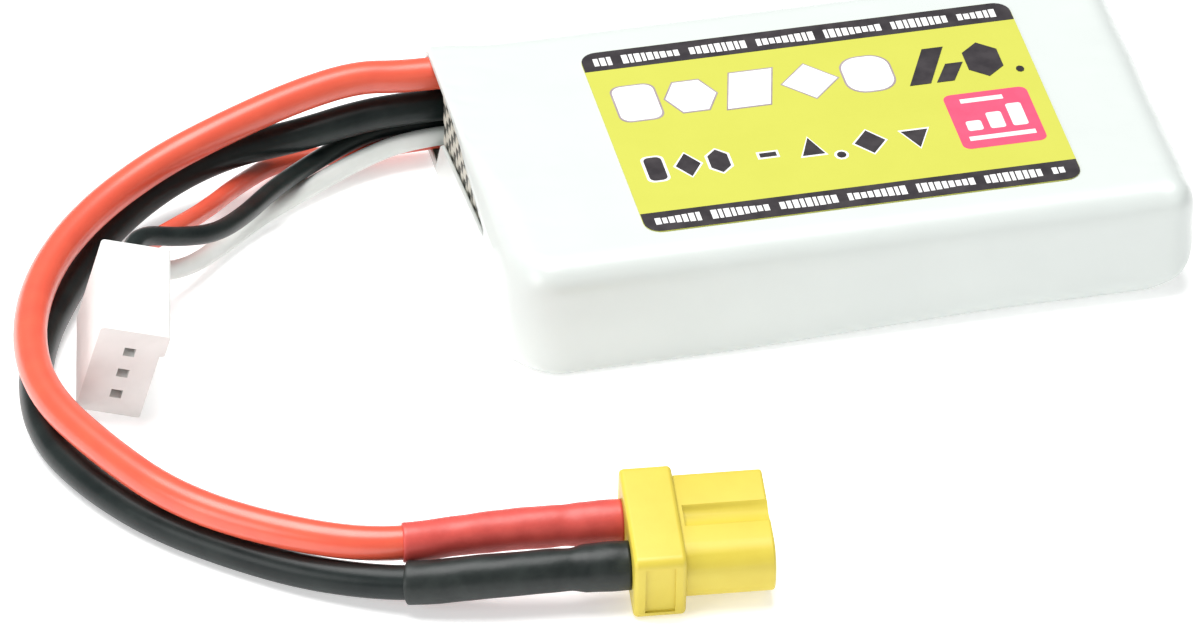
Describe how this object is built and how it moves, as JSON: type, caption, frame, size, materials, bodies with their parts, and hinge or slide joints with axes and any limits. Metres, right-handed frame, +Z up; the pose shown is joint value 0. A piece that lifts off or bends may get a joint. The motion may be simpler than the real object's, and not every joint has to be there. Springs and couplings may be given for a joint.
{
  "type": "lithium polymer battery pack",
  "caption": "Flat two-cell battery pack in white shrink wrap with a sticker, a looped red and black lead to a yellow two-pin connector, and a white balance plug.",
  "frame": {"origin": "centre of the pack's underside, where it lies on a surface", "axes": "+X along the pack away from its leads, +Y across it towards the side where the leads leave, +Z up"},
  "size_m": [0.097, 0.0692, 0.0125],
  "materials": {
    "wrap_film": "satin white shrink film",
    "label_print": "printed yellow sticker, laminated",
    "pouch_foil": "laminated aluminium foil",
    "tab_aluminium": "rolled strip",
    "tab_nickel": "nickel plated strip",
    "adhesive_tape": "double-sided tissue tape",
    "foam": "closed-cell foam",
    "polyimide": "amber polyimide film",
    "board_laminate": "glass epoxy with green solder mask",
    "solder": "bright solder",
    "woven_board": "woven glass cloth board",
    "connector_yellow": "moulded nylon, fine satin",
    "contact_gold": "gold plated",
    "housing_white": "natural white nylon",
    "contact_tin": "tin plated",
    "silicone_red": "soft silicone insulation",
    "silicone_black": "soft silicone insulation",
    "silicone_white": "soft silicone insulation",
    "sleeve_red": "heat-shrink sleeve",
    "sleeve_black": "heat-shrink sleeve",
    "copper": "tinned copper strands"
  },
  "bodies": {
    "root": {"wrap": "wrap_film", "label": "label_print", "cell_upper": "pouch_foil", "cell_lower": "pouch_foil", "tab_upper_positive": "tab_aluminium", "tab_upper_negative": "tab_nickel", "tab_lower_positive": "tab_aluminium", "tab_lower_negative": "tab_nickel", "cell_tape": "adhesive_tape", "end_pad": "foam", "insulating_tape": "polyimide", "tab_board": "board_laminate", "board_solder": "solder", "end_insulator": "woven_board", "connector_housing": "connector_yellow", "contact_positive": "contact_gold", "contact_negative": "contact_gold", "cup_solder": "solder", "balance_housing": "housing_white", "balance_contacts": "contact_tin", "main_lead_red": "silicone_red", "main_lead_black": "silicone_black", "balance_lead_red": "silicone_red", "balance_lead_black": "silicone_black", "balance_lead_white": "silicone_white", "sleeve_red": "sleeve_red", "sleeve_black": "sleeve_black", "main_core_red": "copper", "main_core_black": "copper", "balance_core_red": "copper", "balance_core_black": "copper", "balance_core_white": "copper"}
  },
  "joints": []
}
